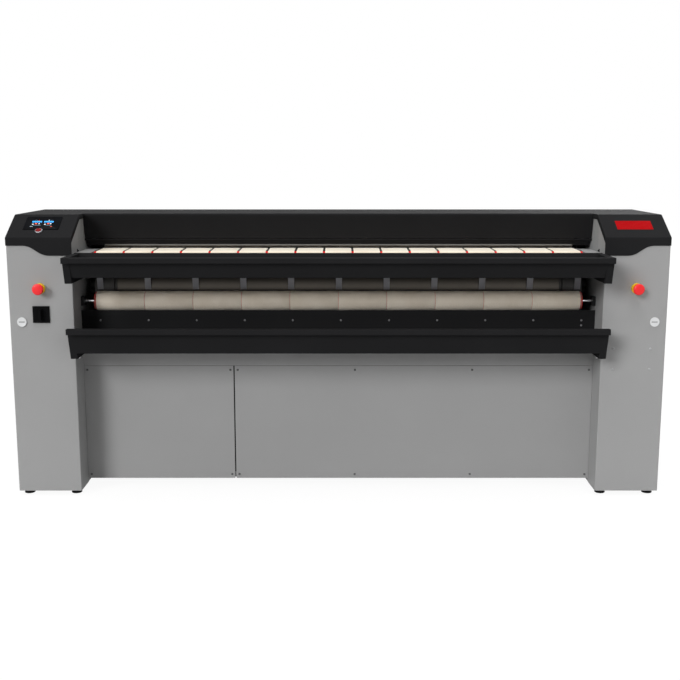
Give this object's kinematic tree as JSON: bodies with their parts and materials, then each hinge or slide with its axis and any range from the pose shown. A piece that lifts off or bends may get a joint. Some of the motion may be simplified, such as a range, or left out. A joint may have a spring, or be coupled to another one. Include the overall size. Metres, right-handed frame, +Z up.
{
  "type": "flatwork ironer",
  "caption": "Floor-standing flatwork ironer: heated roll wrapped by ironing bands, belt feed table, linen trays, hood and end columns with controls.",
  "frame": {"origin": "centre of the bounding box on the floor, midway between the outer sides of the columns", "axes": "+X to the operator's right along the roll, +Y from the operator towards the back, +Z up"},
  "size_m": [2.6, 0.795, 1.13],
  "materials": {
    "frame_paint": "satin powder coat",
    "grey_paint": "fine matt powder coat",
    "black_paint": "fine textured matt powder coat",
    "polished_steel": "ground and polished",
    "dark_steel": "heat-resistant matt black",
    "bright_steel": "bright ground",
    "cast_housing": "painted casting",
    "pulley_aluminium": "machined",
    "galvanised": "zinc-coated sheet",
    "motor_paint": "satin enamel",
    "red_paint": "satin red",
    "band_fabric": "woven heat-resistant felt, cream",
    "belt_fabric": "woven cotton belting, cream",
    "dark_rubber": "matt",
    "yellow_plastic": "satin",
    "red_plastic": "gloss",
    "dark_plastic": "matt",
    "chrome": "polished",
    "display_glass": "gloss black with glass front"
  },
  "bodies": {
    "frame": {"left_side_frame": "frame_paint", "right_side_frame": "frame_paint", "left_column_casing": "grey_paint", "right_column_casing": "grey_paint", "left_cap": "black_paint", "right_cap": "black_paint", "base_tubes": "frame_paint", "levelling_feet": "dark_rubber", "left_front_panel": "grey_paint", "right_front_panel": "grey_paint", "front_header_rail": "grey_paint", "hood_cover": "black_paint", "rear_cover": "grey_paint", "feed_apron": "black_paint", "upper_tray": "black_paint", "upper_tray_cheeks": "black_paint", "lower_tray": "black_paint", "lower_tray_cheeks": "black_paint", "outfeed_plate": "black_paint", "heater_bank": "dark_steel", "roll_bearings": "cast_housing", "roller_bearings": "cast_housing", "tension_brackets": "frame_paint", "ironing_bands": "band_fabric", "feed_belts": "belt_fabric", "feed_brackets": "grey_paint", "feed_bed": "bright_steel", "stripper_bar": "black_paint", "stripper_fingers": "bright_steel", "gearmotor": "motor_paint", "drive_belt": "dark_rubber", "fan_housing": "galvanised", "fan_motor": "motor_paint", "estop_collars": "yellow_plastic", "main_switch_plate": "dark_plastic", "start_button_bezel": "chrome", "control_display": "display_glass", "cable_gland": "dark_plastic"},
    "heated_roll": {"heated_roll": "polished_steel", "roll_end_caps": "dark_steel", "roll_pulley": "pulley_aluminium"},
    "delivery_roller": {"delivery_roller": "red_paint", "delivery_roller_shaft": "bright_steel"},
    "upper_band_roller": {"upper_band_roller": "bright_steel"},
    "rear_band_roller": {"rear_band_roller": "bright_steel"},
    "tension_roller": {"tension_roller": "bright_steel"},
    "feed_roller": {"feed_roller": "red_paint", "feed_pulley": "pulley_aluminium"},
    "nose_roller": {"nose_roller": "bright_steel"},
    "motor_pulley": {"motor_pulley": "pulley_aluminium"},
    "fan_impeller": {"fan_impeller": "galvanised"},
    "finger_guard": {"finger_guard": "black_paint"},
    "left_estop_plunger": {"left_estop_plunger": "dark_plastic"},
    "right_estop_plunger": {"right_estop_plunger": "dark_plastic"},
    "left_estop_head": {"left_estop_head": "red_plastic"},
    "right_estop_head": {"right_estop_head": "red_plastic"},
    "main_switch_handle": {"main_switch_handle": "dark_plastic"},
    "start_button": {"start_button": "red_plastic"},
    "left_column_lock": {"left_column_lock": "bright_steel"},
    "right_column_lock": {"right_column_lock": "bright_steel"}
  },
  "joints": [
    {"name": "roll_spin", "type": "hinge", "parent": "frame", "child": "heated_roll", "pos_m": [0, 0.11568, 0.8253], "axis": [-1, 0, 0], "continuous": true},
    {"name": "delivery_roller_spin", "type": "hinge", "parent": "frame", "child": "delivery_roller", "pos_m": [0, -0.0815, 0.7805], "axis": [-1, 0, 0], "continuous": true},
    {"name": "upper_band_roller_spin", "type": "hinge", "parent": "frame", "child": "upper_band_roller", "pos_m": [0, 0.08169, 1.01802], "axis": [-1, 0, 0], "continuous": true},
    {"name": "rear_band_roller_spin", "type": "hinge", "parent": "frame", "child": "rear_band_roller", "pos_m": [0, 0.2795, 1.06], "axis": [-1, 0, 0], "continuous": true},
    {"name": "tension_roller_spin", "type": "hinge", "parent": "frame", "child": "tension_roller", "pos_m": [0, 0.2795, 0.58], "axis": [-1, 0, 0], "continuous": true},
    {"name": "feed_roller_spin", "type": "hinge", "parent": "frame", "child": "feed_roller", "pos_m": [0, -0.1205, 0.95], "axis": [-1, 0, 0], "continuous": true},
    {"name": "nose_roller_spin", "type": "hinge", "parent": "frame", "child": "nose_roller", "pos_m": [0, 0.0025, 0.971], "axis": [-1, 0, 0], "continuous": true},
    {"name": "motor_spin", "type": "hinge", "parent": "frame", "child": "motor_pulley", "pos_m": [0, 0.0745, 0.42], "axis": [-1, 0, 0], "continuous": true},
    {"name": "fan_spin", "type": "hinge", "parent": "frame", "child": "fan_impeller", "pos_m": [0, 0.1045, 0.27], "axis": [1, 0, 0], "continuous": true},
    {"name": "finger_guard_swing", "type": "hinge", "parent": "frame", "child": "finger_guard", "pos_m": [0, 0.0075, 1.022], "axis": [1, 0, 0], "range_deg": [0, 15]},
    {"name": "left_estop_push", "type": "slide", "parent": "frame", "child": "left_estop_plunger", "axis": [0, 1, 0], "range_m": [0, 0.004]},
    {"name": "left_estop_twist", "type": "hinge", "parent": "left_estop_plunger", "child": "left_estop_head", "pos_m": [-1.172, -0.2555, 0.848], "axis": [0, 1, 0], "range_deg": [0, 30], "stiffness_Nm_per_rad": 0.02},
    {"name": "right_estop_push", "type": "slide", "parent": "frame", "child": "right_estop_plunger", "axis": [0, 1, 0], "range_m": [0, 0.004]},
    {"name": "right_estop_twist", "type": "hinge", "parent": "right_estop_plunger", "child": "right_estop_head", "pos_m": [1.172, -0.2555, 0.848], "axis": [0, 1, 0], "range_deg": [0, 30], "stiffness_Nm_per_rad": 0.02},
    {"name": "main_switch_turn", "type": "hinge", "parent": "frame", "child": "main_switch_handle", "pos_m": [-1.172, -0.2375, 0.745], "axis": [0, 1, 0], "range_deg": [0, 90]},
    {"name": "start_button_push", "type": "slide", "parent": "frame", "child": "start_button", "axis": [0, 0.5015, -0.8651], "range_m": [0, 0.003], "stiffness_N_per_m": 300, "springref_m": -0.001},
    {"name": "left_lock_turn", "type": "hinge", "parent": "frame", "child": "left_column_lock", "pos_m": [-1.25, -0.2255, 0.715], "axis": [0, 1, 0], "range_deg": [0, 90]},
    {"name": "right_lock_turn", "type": "hinge", "parent": "frame", "child": "right_column_lock", "pos_m": [1.25, -0.2255, 0.715], "axis": [0, 1, 0], "range_deg": [0, 90]}
  ],
  "couplings": [
    {"joint": "delivery_roller_spin", "follows": "roll_spin", "ratio": -4.3071},
    {"joint": "upper_band_roller_spin", "follows": "roll_spin", "ratio": -5.193},
    {"joint": "rear_band_roller_spin", "follows": "roll_spin", "ratio": -5.193},
    {"joint": "tension_roller_spin", "follows": "roll_spin", "ratio": -5.193},
    {"joint": "feed_roller_spin", "follows": "roll_spin", "ratio": 4.5714},
    {"joint": "nose_roller_spin", "follows": "roll_spin", "ratio": 10.215},
    {"joint": "motor_spin", "follows": "roll_spin", "ratio": 4}
  ]
}
